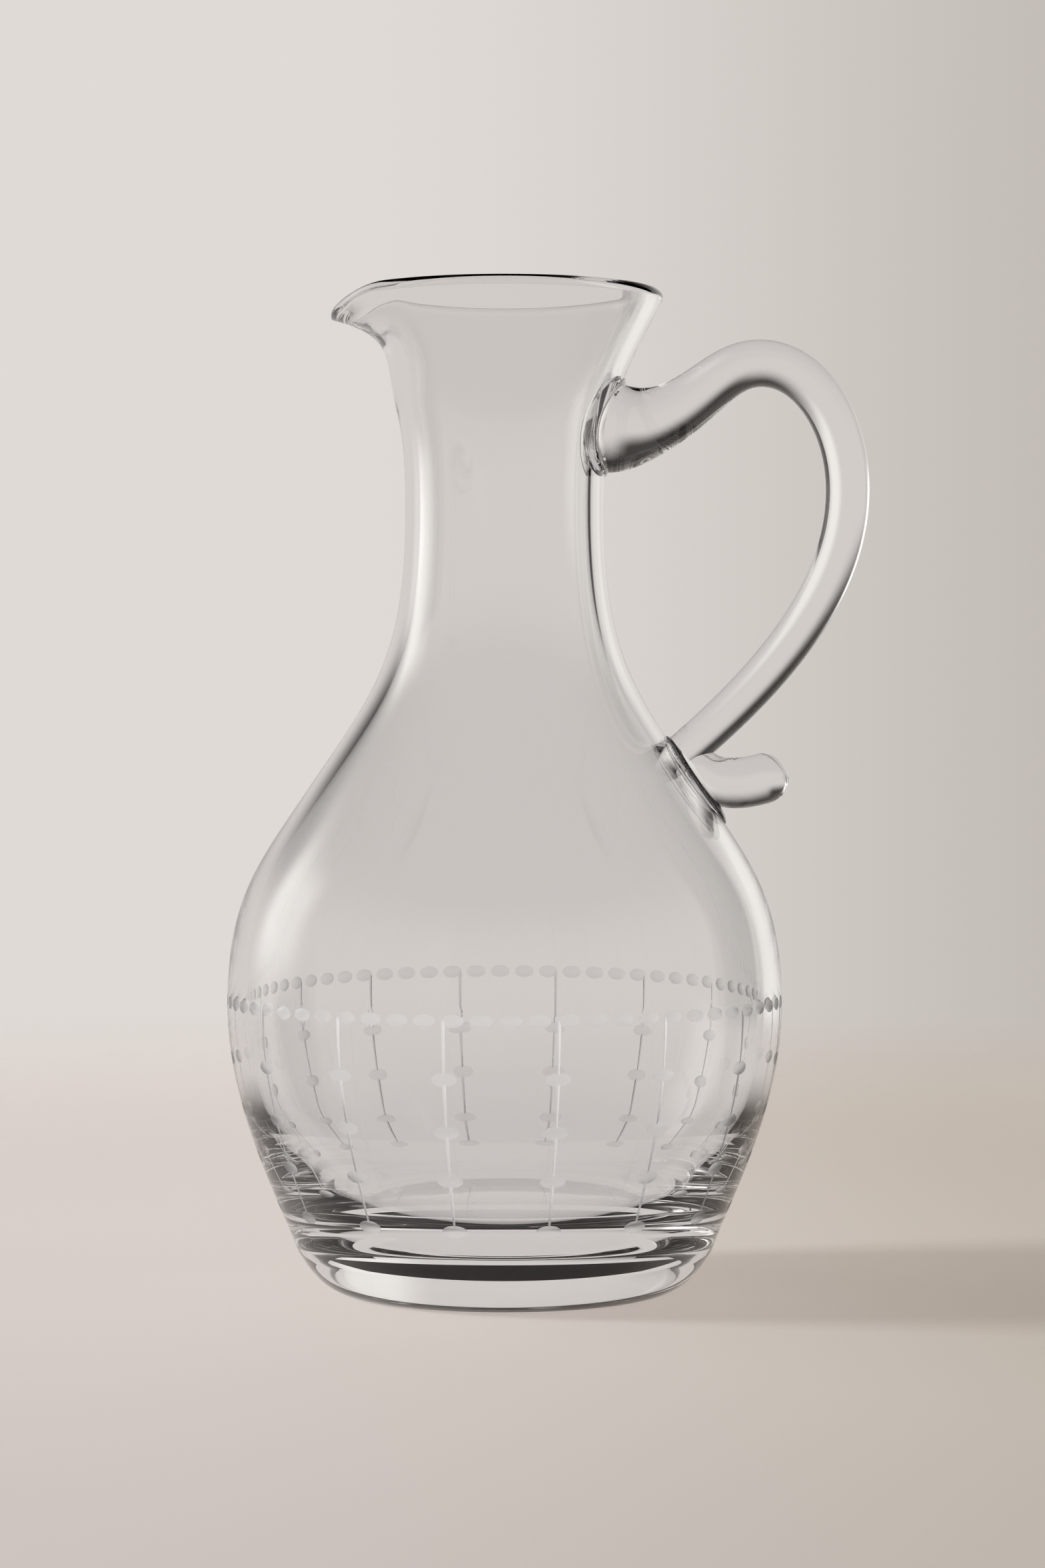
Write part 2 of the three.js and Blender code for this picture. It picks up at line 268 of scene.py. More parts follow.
def outline():
    heel = Vector((HEEL_RADIUS, HEEL_HEIGHT))
    belly = Vector((BELLY_RADIUS, BELLY_HEIGHT))
    shoulder = Vector((SHOULDER_RADIUS, SHOULDER_HEIGHT))
    neck = Vector((NECK_RADIUS, NECK_HEIGHT))
    mouth = Vector((MOUTH_RADIUS, MOUTH_HEIGHT))
    return [
        stretch(heel, HEEL_STEEPNESS, belly, UPRIGHT, BOWL_PULLS),
        stretch(belly, UPRIGHT, shoulder, SHOULDER_STEEPNESS, LOWER_SHOULDER_PULLS),
        stretch(shoulder, SHOULDER_STEEPNESS, neck, UPRIGHT, UPPER_SHOULDER_PULLS),
        stretch(neck, UPRIGHT, mouth, MOUTH_STEEPNESS, THROAT_PULLS),
    ]


def outside_samples(steps):
    """Points and outward normals of the outside, from the heel to the mouth."""
    samples = []
    for number, controls in enumerate(outline()):
        for i in range(0 if number == 0 else 1, steps + 1):
            tangent = bezier_tangent(controls, i / steps)
            samples.append((bezier(controls, i / steps), Vector((tangent.y, -tangent.x))))
    return samples


LOOKUP = outside_samples(LOOKUP_STEPS)
LOOKUP_LEVELS = [point.y for point, normal in LOOKUP]


def outside_at_height(height):
    """Point and outward normal of the outside at a level above the heel."""
    i = min(max(bisect_right(LOOKUP_LEVELS, height), 1), len(LOOKUP) - 1)
    (low, low_normal), (high, high_normal) = LOOKUP[i - 1], LOOKUP[i]
    share = (height - low.y) / (high.y - low.y)
    return low.lerp(high, share), low_normal.lerp(high_normal, share).normalized()


def wall_at(height):
    """Wall thickness at a level, passing smoothly from one named thickness to the next."""
    walls = [
        (HEEL_HEIGHT, LOWER_WALL),
        (BOWL_HEIGHT, BOWL_WALL),
        (BELLY_HEIGHT, BELLY_WALL),
        (SHOULDER_HEIGHT, SHOULDER_WALL),
        (NECK_HEIGHT, NECK_WALL),
        (MOUTH_HEIGHT, RIM_WALL),
    ]
    for (low, low_wall), (high, high_wall) in zip(walls, walls[1:]):
        if height <= high:
            share = (height - low) / (high - low)
            return low_wall + (high_wall - low_wall) * share * share * (3 - 2 * share)
    return RIM_WALL


def rounded_corner(level_end, point, slope, pull):
    """Corner from a level line to a point, arriving along a slope; a stronger pull makes it fuller."""
    meeting = Vector((point.x - (point.y - level_end.y) * slope.x / slope.y, level_end.y))
    controls = [level_end, level_end.lerp(meeting, pull), point.lerp(meeting, pull), point]
    return [bezier(controls, i / CORNER_STEPS) for i in range(CORNER_STEPS + 1)]


def rim_arc(outer, inner):
    """Half-round edge of the rim, from the outside over to the inside, without its two ends."""
    centre = outer.lerp(inner, 0.5)
    arm = outer - centre
    side = Vector((-arm.y, arm.x))
    angles = [math.pi * i / CORNER_STEPS for i in range(1, CORNER_STEPS)]
    return [centre + arm * math.cos(angle) + side * math.sin(angle) for angle in angles]


def vessel_section():
    """Closed section, from the axis under the floor, up the outside and down the inside to the axis."""
    outside = outside_samples(OUTLINE_STEPS)
    corner_top = FLOOR_THICKNESS + FLOOR_CORNER_RISE
    lined = [outside_at_height(corner_top)]
    lined += [sample for sample in outside if sample[0].y > corner_top + SAMPLE_GAP]
    inside = [point - normal * wall_at(point.y) for point, normal in lined]
    wall_slope = (inside[1] - inside[0]).normalized()
    underside = Vector((FOOT_RADIUS, 0))
    floor_edge = Vector((FLOOR_RADIUS, FLOOR_THICKNESS))
    section = [Vector((0, 0))]
    section += rounded_corner(underside, outside[0][0], direction(HEEL_EDGE_STEEPNESS), HEEL_PULL)
    section += [point for point, normal in outside[1:]]
    section += rim_arc(outside[-1][0], inside[-1])
    section += inside[:0:-1]
    section += rounded_corner(floor_edge, inside[0], wall_slope, FLOOR_CORNER_PULL)[::-1]
    section.append(Vector((0, FLOOR_THICKNESS)))
    return section


# Meshes

def round_axis(radius, angle, height):
    """Point at a radius from the axis, an angle from +X and a height."""
    return Vector((radius * math.cos(angle), radius * math.sin(angle), height))


def revolve(section, segments):
    """Vertices and faces of a section turned about +Z; it starts and ends on the axis or at one point."""
    vertices = []
    rings = []
    for radius, height in section:
        turns = 1 if radius < AXIS_TOLERANCE else segments
        rings.append([len(vertices) + k for k in range(turns)])
        vertices += [round_axis(radius, 2 * math.pi * k / turns, height) for k in range(turns)]
    faces = []
    for lower, upper in zip(rings, rings[1:]):
        for k in range(segments):
            corners = [lower[k % len(lower)], lower[(k + 1) % len(lower)]]
            corners += [upper[(k + 1) % len(upper)], upper[k % len(upper)]]
            faces.append(list(dict.fromkeys(corners)))
    return vertices, faces


def pull_share(angle, half_width):
    """Bell-shaped share of a pull at an angle away from its middle."""
    return 0.5 + 0.5 * math.cos(math.pi * min(1, abs(angle) / math.radians(half_width)))


def draw_lip(point):
    """Draws the rim out and down over the pouring lip and presses in the throat below it."""
    rise = min(1, 1 - (MOUTH_HEIGHT - point.z) / LIP_HEIGHT)
    if rise <= 0:
        return point
    angle = math.atan2(point.y, -point.x)
    pinch = LIP_PINCH * math.sin(math.pi * rise ** LIP_PINCH_SHARPNESS)
    out = LIP_REACH * rise ** LIP_REACH_SHARPNESS - pinch
    spread = 1 + out * pull_share(angle, LIP_REACH_ANGLE) / math.hypot(point.x, point.y)
    droop = LIP_DROOP * rise ** LIP_DROOP_SHARPNESS * pull_share(angle, LIP_DROOP_ANGLE)
    return Vector((point.x * spread, point.y * spread, point.z - droop))


def solid(name, vertices, faces, material):
    """Closed object from millimetre vertices, in one material."""
    mesh = bpy.data.meshes.new(name)
    mesh.from_pydata([vertex * MM for vertex in vertices], [], faces)
    mesh.materials.append(material)
    made = bpy.data.objects.new(name, mesh)
    bpy.context.scene.collection.objects.link(made)
    return made


def boolean(target, other, operation, keep_other=False):
    """Cuts or joins two closed objects; new faces keep the material of the object they come from."""
    modifier = target.modifiers.new(operation.lower(), "BOOLEAN")
    modifier.object = other
    modifier.operation = operation
    modifier.solver = "MANIFOLD"
    modifier.material_mode = "TRANSFER"
    graph = bpy.context.evaluated_depsgraph_get()
    mesh = bpy.data.meshes.new_from_object(target.evaluated_get(graph))
    target.modifiers.clear()
    target.data = mesh
    if not keep_other:
        bpy.data.objects.remove(other)


def smooth_between_materials(made):
    """Smooth shading with crisp edges at creases and where two materials meet."""
    mesh = bmesh.new()
    mesh.from_mesh(made.data)
    for face in mesh.faces:
        face.smooth = True
    for edge in mesh.edges:
        indices = {face.material_index for face in edge.link_faces}
        edge.smooth = len(indices) == 1 and edge.calc_face_angle(0) < math.radians(CREASE_ANGLE)
    mesh.to_mesh(made.data)
    mesh.free()


# Handle

def path_of(stretches):
    """Centre line of joined Bezier stretches: its points, and the length along it to each of them."""
    points = []
    for number, controls in enumerate(stretches):
        steps = STRAIGHT_STEPS if len(controls) == 2 else LOOKUP_STEPS
        points += [bezier(controls, i / steps) for i in range(0 if number == 0 else 1, steps + 1)]
    lengths = [0.0]
    for a, b in zip(points, points[1:]):
        lengths.append(lengths[-1] + (b - a).length)
    return lengths, points


def place_on_path(path, along):
    """Point and direction of a path at a length along it."""
    lengths, points = path
    i = min(max(bisect_right(lengths, along), 1), len(lengths) - 1)
    share = (along - lengths[i - 1]) / (lengths[i] - lengths[i - 1])
    before = points[max(i - 2, 0)]
    after = points[min(i + 1, len(points) - 1)]
    return points[i - 1].lerp(points[i], share), (after - before).normalized()


def bar(path, radius_at, steps):
    """Round bar along a path in the XZ plane, with a radius that varies and rounded ends."""
    length = path[0][-1]
    section = []
    for i in range(steps + 1):
        along = length * i / steps
        radius = radius_at(along, length)
        roundness = min(1, max(0, min(along, length - along)) / radius)
        section.append(Vector((radius * math.sqrt(roundness * (2 - roundness)), along)))
    vertices, faces = revolve(section, ROD_SEGMENTS)
    placed = []
    for vertex in vertices:
        centre, tangent = place_on_path(path, vertex.z)
        placed.append(Vector((centre.x + tangent.y * vertex.x, vertex.y, centre.y - tangent.x * vertex.x)))
    return placed, faces


UPPER_SEAT = outside_at_height(MOUTH_HEIGHT - UPPER_SEAT_DROP)
LOWER_SEAT = outside_at_height(SHOULDER_HEIGHT + LOWER_SEAT_RISE)
FOLD = outside_at_height(SHOULDER_HEIGHT + LOWER_SEAT_RISE - FOLD_DROP)
ROD_ROOT_RADIUS = ROD_RADIUS + ROD_SWELL


def rod_path():
    """Centre line of the rod: out from the neck, over the loop and down to the shoulder."""
    start = UPPER_SEAT[0]
    top = start + Vector((LOOP_TOP_RUN, LOOP_TOP_RISE))
    outer = start + Vector((LOOP_OUTER_RUN, -LOOP_OUTER_DROP))
    end = LOWER_SEAT[0]
    landing = direction(LANDING_STEEPNESS)
    run = top.x - start.x
    fall = outer.y - end.y
    return path_of([
        [Vector((start.x - ROD_ROOT_RADIUS, start.y)), start],
        [start, Vector((start.x + NECK_RUN_PULLS[0] * run, start.y)),
         Vector((top.x - NECK_RUN_PULLS[1] * run, top.y)), top],
        [top, Vector((top.x + LOOP_PULLS[0] * (outer.x - top.x), top.y)),
         Vector((outer.x, outer.y + LOOP_PULLS[1] * (top.y - outer.y))), outer],
        [outer, Vector((outer.x, outer.y - FALL_PULLS[0] * fall)),
         end + landing * FALL_PULLS[1] * fall, end],
        [end, end - landing * ROD_END_RADIUS],
    ])


def rod_radius(along, length):
    """Thickest where the rod was first laid on the neck, drawn thinner towards the shoulder."""
    from_neck = max(0, along - ROD_ROOT_RADIUS)
    swell = ROD_SWELL / (1 + (from_neck / ROD_SWELL_LENGTH) ** 2)
    return ROD_RADIUS + (ROD_END_RADIUS - ROD_RADIUS) * (along / length) ** ROD_TAPER_SHARPNESS + swell


def stub_path():
    """Centre line of the spare end: down the shoulder from the seat and back out as a stub."""
    start = LOWER_SEAT[0] + LOWER_SEAT[1] * ROD_END_RADIUS / 2
    return path_of([[start, FOLD[0], FOLD[0] + direction(STUB_RISE) * STUB_LENGTH]])


def stub_radius(along, length):
    """Widens over the first half, from the rod's end to the stub."""
    return ROD_END_RADIUS + (STUB_RADIUS - ROD_END_RADIUS) * min(1, 2 * along / length)


def dab(centre_height, length, width, thickness, depth):
    """Ball of glass pressed on the wall at +X: domed outwards by its thickness, rooted in by a depth."""
    turns = [math.pi * (i / PAD_RINGS - 0.5) for i in range(PAD_RINGS + 1)]
    section = [Vector((max(0, math.cos(turn)), math.sin(turn))) for turn in turns]
    section[0].x = 0
    section[-1].x = 0
    lean = outside_at_height(centre_height)[1].x
    vertices, faces = revolve(section, PAD_SEGMENTS)
    placed = []
    for vertex in vertices:
        point, normal = outside_at_height(centre_height - vertex.x * length / 2 * lean)
        above = vertex.z * (thickness if vertex.z > 0 else depth)
        angle = vertex.y * width / 2 / point.x
        placed.append(round_axis(point.x + normal.x * above, angle, point.y + normal.y * above))
    return placed, faces


UPPER_PAD = {
    "centre_height": UPPER_SEAT[0].y,
    "length": 2 * (ROD_ROOT_RADIUS + PAD_MARGIN),
    "width": 2 * (UPPER_SEAT[0].x * math.asin(ROD_ROOT_RADIUS / UPPER_SEAT[0].x) + PAD_MARGIN),
}
LOWER_PAD = {
    "centre_height": (LOWER_SEAT[0].y + FOLD[0].y) / 2,
    "length": (LOWER_SEAT[0] - FOLD[0]).length + 2 * (ROD_END_RADIUS + PAD_MARGIN),
    "width": 2 * (STUB_RADIUS + LOWER_PAD_SPREAD),
}


# Cut decoration

def on_belly(angle, across, height, above):
    """Point beside a mark's middle on the outside, at a distance above the glass; angle 0 faces -Y."""
    point, normal = outside_at_height(height)
    turn = math.radians(angle) + across / point.x - math.pi / 2
    return round_axis(point.x + normal.x * above, turn, point.y + normal.y * above)


def oval_cutter(angle, height, wide, tall):
    """Shallow lens that grinds an oval of the given size into the outside."""
    lean = outside_at_height(height)[1].x
    rings = [(i / OVAL_RINGS, OVAL_DEPTH * ((i / OVAL_RINGS) ** 2 - 1)) for i in range(OVAL_RINGS + 1)]
    rim = math.sqrt(1 + CUTTER_LIFT / OVAL_DEPTH)
    section = rings + [(rim, CUTTER_LIFT), (0, CUTTER_LIFT)]
    vertices, faces = revolve([Vector(pair) for pair in section], OVAL_SEGMENTS)
    placed = []
    for vertex in vertices:
        level = height + vertex.y * tall / 2 * lean
        placed.append(on_belly(angle, vertex.x * wide / 2, level, vertex.z))
    return placed, faces


def line_cutter(angle, top, foot):
    """V-shaped groove down the outside, drawn thinner towards its foot."""
    vertices = []
    for i in range(LINE_STEPS + 1):
        share = i / LINE_STEPS
        height = top + (foot - top) * share
        half = (LINE_TOP_WIDTH + (LINE_FOOT_WIDTH - LINE_TOP_WIDTH) * share) / 2
        open_half = half * (1 + CUTTER_LIFT / LINE_DEPTH)
        vertices.append(on_belly(angle, 0, height, -LINE_DEPTH))
        vertices.append(on_belly(angle, open_half, height, CUTTER_LIFT))
        vertices.append(on_belly(angle, -open_half, height, CUTTER_LIFT))
    corners = 3
    faces = [[0, 2, 1]]
    for i in range(LINE_STEPS):
        for k in range(corners):
            a = corners * i + k
            b = corners * i + (k + 1) % corners
            faces.append([b, b + corners, a + corners, a])
    last = corners * LINE_STEPS
    faces.append([last, last + 1, last + 2])
    return vertices, faces


def joined(parts):
    """One list of vertices and faces out of several that don't touch."""
    vertices = []
    faces = []
    for part_vertices, part_faces in parts:
        offset = len(vertices)
        vertices += part_vertices
        faces += [[index + offset for index in face] for face in part_faces]
    return vertices, faces


def string_angles():
    return [STRING_START_ANGLE + 360 / STRINGS * k for k in range(STRINGS)]


def line_cutters():
    levels = (RING_HEIGHT,) + STRING_OVAL_HEIGHTS
    spans = list(zip(levels, levels[1:]))
    return joined([line_cutter(angle, top, foot) for angle in string_angles() for top, foot in spans])


def oval_cutters():
    ring = [RING_START_ANGLE + 360 / RING_OVALS * k for k in range(RING_OVALS)]
    cutters = [oval_cutter(angle, RING_HEIGHT, RING_OVAL_WIDTH, RING_OVAL_HEIGHT) for angle in ring]
    for angle in string_angles():
        for height in STRING_OVAL_HEIGHTS:
            cutters.append(oval_cutter(angle, height, STRING_OVAL_WIDTH, STRING_OVAL_HEIGHT))
    return joined(cutters)


# Materials

def node_material(name):
    material = bpy.data.materials.new(name)
    material.use_nodes = True
    material.node_tree.nodes.clear()
    return material, material.node_tree.nodes, material.node_tree.links


def set_surface(nodes, links, shader):
    output = nodes.new("ShaderNodeOutputMaterial")
    links.new(shader, output.inputs["Surface"])


def plain_shader(nodes, kind, colour=(1, 1, 1)):
    """Shader of one colour that is the same all over."""
    made = nodes.new(kind)
    made.inputs["Color"].default_value = (*colour, 1)
    return made.outputs[0]


def mix_shaders(nodes, links, share, first, second):
    """Surface between two shaders: the first at a share of 0, the second at 1."""
    made = nodes.new("ShaderNodeMixShader")
    links.new(share, made.inputs["Fac"])
    links.new(first, made.inputs[1])
    links.new(second, made.inputs[2])
    return made.outputs["Shader"]


def axes_of(nodes, links, coordinates):
    """X, Y and Z of texture coordinates of the given kind."""
    place = nodes.new("ShaderNodeTexCoord")
    axes = nodes.new("ShaderNodeSeparateXYZ")
    links.new(place.outputs[coordinates], axes.inputs["Vector"])
    return axes.outputs


def map_range(nodes, links, value, source, target, interpolation="LINEAR"):
    """Carries one range of values over to another and stops at its ends."""
    made = nodes.new("ShaderNodeMapRange")
    made.interpolation_type = interpolation
    for name, number in zip(("From Min", "From Max", "To Min", "To Max"), (*source, *target)):
        made.inputs[name].default_value = number
    links.new(value, made.inputs["Value"])
    return made.outputs["Result"]


def smooth_step(nodes, links, value, start, end):
    """Rises smoothly from 0 at the start to 1 at the end; falls if the end lies below the start."""
    source = (min(start, end), max(start, end))
    target = (0, 1) if start < end else (1, 0)
    return map_range(nodes, links, value, source, target, "SMOOTHSTEP")


def math_node(nodes, links, operation, *values):
    """Result of an operation on numbers and outputs of other nodes."""
    made = nodes.new("ShaderNodeMath")
    made.operation = operation
    for socket, value in zip(made.inputs, values):
        if isinstance(value, (int, float)):
            socket.default_value = value
        else:
            links.new(value, socket)
    return made.outputs["Value"]


def blend_colours(nodes, links, share, low, high):
    """Colour between two, each a colour or the output of another blend."""
    made = nodes.new("ShaderNodeMix")
    made.data_type = "RGBA"
    links.new(share, made.inputs["Factor"])
    for socket, colour in ((made.inputs["A"], low), (made.inputs["B"], high)):
        if isinstance(colour, tuple):
            socket.default_value = (*colour, 1)
        else:
            links.new(colour, socket)
    return made.outputs["Result"]


def noise(nodes, links, scale, detail):
    """Noise over the object's own coordinates."""
    place = nodes.new("ShaderNodeTexCoord")
    made = nodes.new("ShaderNodeTexNoise")
    made.inputs["Scale"].default_value = scale
    made.inputs["Detail"].default_value = detail
    links.new(place.outputs["Object"], made.inputs["Vector"])
    return made.outputs["Fac"]


def bump(nodes, links, height, distance, under=None):
    """Surface normal over a height map, on top of another bump if one is given."""
    made = nodes.new("ShaderNodeBump")
    made.inputs["Strength"].default_value = 1
    made.inputs["Distance"].default_value = distance * MM
    links.new(height, made.inputs["Height"])
    if under is not None:
        links.new(under, made.inputs["Normal"])
    return made.outputs["Normal"]


def glass(name, roughness, wave_scale, wave_height, grain_scale=0, grain_height=0, clear_share=1):
    """Clear glass with the faint waviness of hand work, or a ground matte when it is given a grain."""
    material, nodes, links = node_material(name)
    shader = nodes.new("ShaderNodeBsdfPrincipled")
    shader.inputs["Base Color"].default_value = (*GLASS, 1)
    shader.inputs["IOR"].default_value = GLASS_IOR
    shader.inputs["Transmission Weight"].default_value = clear_share
    haze = noise(nodes, links, wave_scale * HAZE_FINENESS, HAZE_DETAIL)
    links.new(map_range(nodes, links, haze, NOISE_RANGE, roughness), shader.inputs["Roughness"])
    normal = bump(nodes, links, noise(nodes, links, wave_scale, WAVE_DETAIL), wave_height)
    if grain_height:
        normal = bump(nodes, links, noise(nodes, links, grain_scale, GRAIN_DETAIL), grain_height, normal)
    links.new(normal, shader.inputs["Normal"])
    set_surface(nodes, links, shader.outputs["BSDF"])
    return material


def seam_material():
    """Fused contact between two pieces of the same glass: light goes straight through."""
    material, nodes, links = node_material("fused_seam")
    set_surface(nodes, links, plain_shader(nodes, "ShaderNodeBsdfTransparent"))
    return material


# Pieces

def envelope(shrink, material):
    """Everything inside the vessel's outside, from the heel to the mouth, drawn in by a small depth."""
    skin = [point - normal * shrink for point, normal in outside_samples(OUTLINE_STEPS)[1:-1]]
    section = [Vector((0, skin[0].y))] + skin + [Vector((0, skin[-1].y))]
    return solid("envelope", *revolve(section, VESSEL_SEGMENTS), material)


def pad(name, place, material, seam):
    made = solid(name, *dab(**place, thickness=PAD_HEIGHT, depth=PAD_ROOT), material)
    boolean(made, envelope(SEAM_DEPTH, seam), "DIFFERENCE")
    return made


def pad_room(place, seam):
    """A pad drawn in by the seam's depth, to cut the handle's foot to its dome."""
    room = dict(place)
    room["length"] -= 2 * SEAM_DEPTH
    room["width"] -= 2 * SEAM_DEPTH
    return solid("pad_room", *dab(**room, thickness=PAD_HEIGHT - SEAM_DEPTH, depth=PAD_HEIGHT), seam)


def handle(material, seam):
    made = solid("glass_handle", *bar(rod_path(), rod_radius, ROD_STEPS), material)
    boolean(made, solid("stub", *bar(stub_path(), stub_radius, STUB_STEPS), material), "UNION")
    boolean(made, envelope(SEAM_DEPTH, seam), "DIFFERENCE")
    boolean(made, pad_room(UPPER_PAD, seam), "DIFFERENCE")
    boolean(made, pad_room(LOWER_PAD, seam), "DIFFERENCE")
    return made


def vessel(material, matte, line):
    vertices, faces = revolve(vessel_section(), VESSEL_SEGMENTS)
    made = solid("glass_vessel", [draw_lip(vertex) for vertex in vertices], faces, material)
    boolean(made, solid("line_cutters", *line_cutters(), line), "DIFFERENCE")
    boolean(made, solid("oval_cutters", *oval_cutters(), matte), "DIFFERENCE")
    return made


def build_pitcher():
    """The four pieces of glass, each in place of its CAD solid; gives back the vessel."""
    clear = glass("clear_glass", **VESSEL_FINISH)
    rod_glass = glass("handle_glass", **HANDLE_FINISH)
    matte = glass("matte_cut_glass", **OVAL_FINISH)
    line = glass("cut_line_glass", **LINE_FINISH)
    seam = seam_material()
    body = vessel(clear, matte, line)
    upper = pad("glass_upper_pad", UPPER_PAD, rod_glass, seam)
    lower = pad("glass_lower_pad", LOWER_PAD, rod_glass, seam)
    rod = handle(rod_glass, seam)
    for piece in (upper, lower, rod):
        boolean(body, piece, "DIFFERENCE", keep_other=True)
    for piece in (upper, lower):
        boolean(piece, rod, "DIFFERENCE", keep_other=True)
    pieces = [
        (body, "body", "vessel_glass"),
        (upper, "upper_handle_pad", "pad_glass"),
        (lower, "lower_handle_pad", "pad_glass"),
        (rod, "handle", "handle_glass"),
    ]
    for piece, node, slot in pieces:
        smooth_between_materials(piece)
        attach(piece, "root")
        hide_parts(node)
    return body


# Studio

def floor_material():
    """Paper that gives off the floor's tone to the camera and to reflections, and takes the shadow. Glass
    shows it in one plain tone, and away from the pitcher it fades into the background."""
    material, nodes, links = node_material("pale_paper")
    rays = nodes.new("ShaderNodeLightPath").outputs
    axes = axes_of(nodes, links, "Object")
    left, right = (edge * MM for edge in FLOOR_ACROSS)
    front_to_back = [edge * MM for edge in FLOOR_FRONT_TO_BACK]
    near, far = (edge * MM for edge in FLOOR_FADE)

    # Painted light falloff: the floor's glow is lighter on the left and towards the back; the shadow on the
    # paper comes from the key lamp
    glow = nodes.new("ShaderNodeEmission")
    across = smooth_step(nodes, links, axes["X"], left, right)
    links.new(blend_colours(nodes, links, across, FLOOR_LEFT, FLOOR_RIGHT), glow.inputs["Color"])
    seen = math_node(nodes, links, "MAXIMUM", rays["Is Camera Ray"], rays["Is Glossy Ray"])
    depth = map_range(nodes, links, axes["Y"], front_to_back, (FLOOR_FRONT_SHARE, 1))
    links.new(math_node(nodes, links, "MULTIPLY", seen, depth), glow.inputs["Strength"])
    paper = nodes.new("ShaderNodeAddShader")
    links.new(glow.outputs["Emission"], paper.inputs[0])
    links.new(plain_shader(nodes, "ShaderNodeBsdfDiffuse", FLOOR_PAPER), paper.inputs[1])

    in_glass = plain_shader(nodes, "ShaderNodeEmission", FLOOR_IN_GLASS)
    surface = mix_shaders(nodes, links, rays["Is Transmission Ray"], paper.outputs["Shader"], in_glass)
    place = nodes.new("ShaderNodeTexCoord")
    distance = nodes.new("ShaderNodeVectorMath")
    distance.operation = "LENGTH"
    links.new(place.outputs["Object"], distance.inputs[0])
    fade = smooth_step(nodes, links, distance.outputs["Value"], near, far)
    clear = plain_shader(nodes, "ShaderNodeBsdfTransparent")
    set_surface(nodes, links, mix_shaders(nodes, links, fade, surface, clear))
    return material


def build_floor():
    section = [
        Vector((0, STAGE_UNDERSIDE)),
        Vector((STAGE_RADIUS, STAGE_UNDERSIDE)),
        Vector((STAGE_RADIUS, STAGE_TOP)),
        Vector((0, STAGE_TOP)),
    ]
    solid("floor", *revolve(section, STAGE_SEGMENTS), floor_material())


def painted_shade_card_material():
    """Painted shade: black to light that has crossed one lump of glass and clear to all other light, so the
    card stays out of sight beside the pitcher and through its thin walls, and only darkens what the thick
    glass shows. Its upper edge is soft."""
    material, nodes, links = node_material("painted_shade_card")
    crossings = nodes.new("ShaderNodeLightPath").outputs["Transmission Depth"]
    solid_glass = math_node(nodes, links, "COMPARE", crossings, CARD_CROSSINGS, CARD_CROSSINGS_SPREAD)
    level = axes_of(nodes, links, "Object")["Z"]
    fade = smooth_step(nodes, links, level, CARD_LEVELS[1] * MM, CARD_FADE_START * MM)
    share = math_node(nodes, links, "MULTIPLY", solid_glass, fade)
    clear = plain_shader(nodes, "ShaderNodeBsdfTransparent")
    # Painted shade: the black the thick glass shows where the card stands
    black = plain_shader(nodes, "ShaderNodeBsdfDiffuse", PAINTED_SHADE_CARD)
    set_surface(nodes, links, mix_shaders(nodes, links, share, clear, black))
    return material


def build_painted_shade_card():
    """Card bent round the base and seen only through the glass, which paints shade as dark lines in thick
    glass.
    """
    low, high = CARD_LEVELS
    outer = CARD_RADIUS + CARD_THICKNESS
    section = [
        Vector((CARD_RADIUS, low)),
        Vector((outer, low)),
        Vector((outer, high)),
        Vector((CARD_RADIUS, high)),
        Vector((CARD_RADIUS, low)),
    ]
    solid("painted_shade_card", *revolve(section, STAGE_SEGMENTS), painted_shade_card_material())


def lamp(name, strength, azimuth, elevation, size):
    """Broad far lamp that lights matte surfaces; its own image stays out of the clear glass."""
    light = bpy.data.lights.new(name, "SUN")
    light.energy = strength
    light.angle = math.radians(size)
    made = bpy.data.objects.new(name, light)
    made.rotation_euler = (math.radians(elevation - 90), 0, math.radians(-azimuth))
    made.visible_glossy = False
    made.visible_transmission = False
    bpy.context.scene.collection.objects.link(made)
    return made


def build_lamps(vessel_piece):
    """Key light low on the left for the soft shadow on the floor, and a fill that reaches the vessel alone,
    to whiten its matte cut marks."""
    lamp("key_light", **KEY_LIGHT)
    fill = lamp("fill_light", **FILL_LIGHT)
    lit = bpy.data.collections.new("lit_by_fill_light")
    lit.objects.link(vessel_piece)
    fill.light_linking.receiver_collection = lit


def window(nodes, links, azimuth, elevation, left, right, low, high, softness):
    """Share of a soft-edged window of light, between two azimuths and two elevations in degrees."""
    edge = math.radians(softness) / 2
    sides = [
        (azimuth, math.radians(left) - edge, math.radians(left) + edge),
        (azimuth, math.radians(right) + edge, math.radians(right) - edge),
        (elevation, math.radians(low) - edge, math.radians(low) + edge),
        (elevation, math.radians(high) + edge, math.radians(high) - edge),
    ]
    shares = [smooth_step(nodes, links, *side) for side in sides]
    across = math_node(nodes, links, "MULTIPLY", shares[0], shares[1])
    along = math_node(nodes, links, "MULTIPLY", shares[2], shares[3])
    return math_node(nodes, links, "MULTIPLY", across, along)


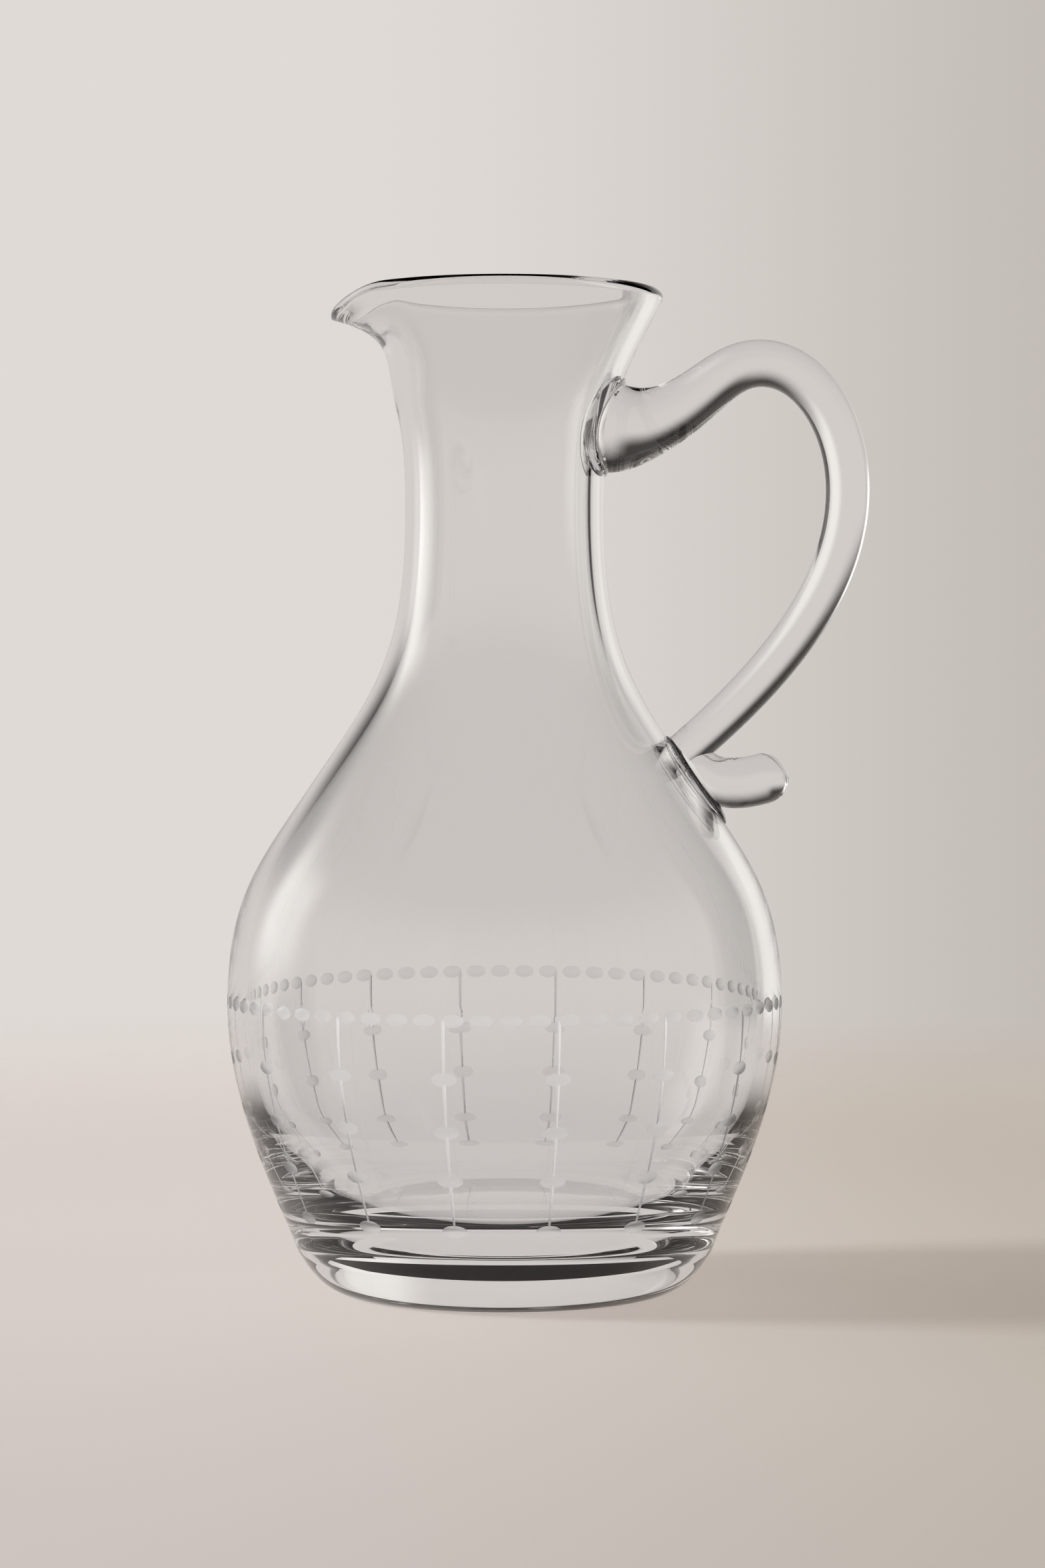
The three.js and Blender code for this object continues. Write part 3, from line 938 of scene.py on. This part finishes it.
def build_world():
    """Studio round the pitcher. The camera sees a pale backdrop. The glass and the paper take their light
    from a surround of like tone, with a dark ceiling, and dark and bright panels outside the picture."""
    world = bpy.data.worlds.new("studio")
    bpy.context.scene.world = world
    world.use_nodes = True
    nodes, links = world.node_tree.nodes, world.node_tree.links
    axes = axes_of(nodes, links, "Generated")
    azimuth = math_node(nodes, links, "ARCTAN2", axes["X"], axes["Y"])
    elevation = math_node(nodes, links, "ARCSINE", axes["Z"])

    across = smooth_step(nodes, links, axes["X"], *BACKDROP_ACROSS)
    ceiling = smooth_step(nodes, links, elevation, math.radians(CEILING_START), math.radians(CEILING_FULL))
    studio = blend_colours(nodes, links, ceiling, SURROUND, CEILING)
    for place, light in PANELS:
        share = window(nodes, links, azimuth, elevation, **place)
        studio = blend_colours(nodes, links, share, studio, light)

    around = nodes["Background"]
    links.new(studio, around.inputs["Color"])
    behind = nodes.new("ShaderNodeBackground")
    links.new(blend_colours(nodes, links, across, BACKDROP_LEFT, BACKDROP_RIGHT), behind.inputs["Color"])
    camera_rays = nodes.new("ShaderNodeLightPath").outputs["Is Camera Ray"]
    shown = [background.outputs["Background"] for background in (around, behind)]
    mixed = mix_shaders(nodes, links, camera_rays, *shown)
    links.new(mixed, nodes["World Output"].inputs["Surface"])


def build_camera():
    lens = bpy.data.cameras.new("camera")
    lens.sensor_fit = "VERTICAL"
    lens.sensor_height = SENSOR
    lens.lens = SENSOR * FOCAL_PIXELS / IMAGE_HEIGHT
    made = bpy.data.objects.new("camera", lens)
    made.location = (0, -CAMERA_DISTANCE * MM, CAMERA_HEIGHT * MM)
    made.rotation_euler = (math.radians(90 - CAMERA_PITCH), 0, math.radians(-CAMERA_YAW))
    bpy.context.scene.collection.objects.link(made)
    bpy.context.scene.camera = made


def set_render_options():
    scene = bpy.context.scene
    scene.view_settings.view_transform = "Standard"
    scene.cycles.max_bounces = BOUNCES
    scene.cycles.transmission_bounces = BOUNCES
    scene.cycles.glossy_bounces = GLOSSY_BOUNCES
    scene.cycles.transparent_max_bounces = BOUNCES


build_camera()
set_render_options()
vessel_piece = build_pitcher()
build_floor()
build_painted_shade_card()
build_lamps(vessel_piece)
build_world()
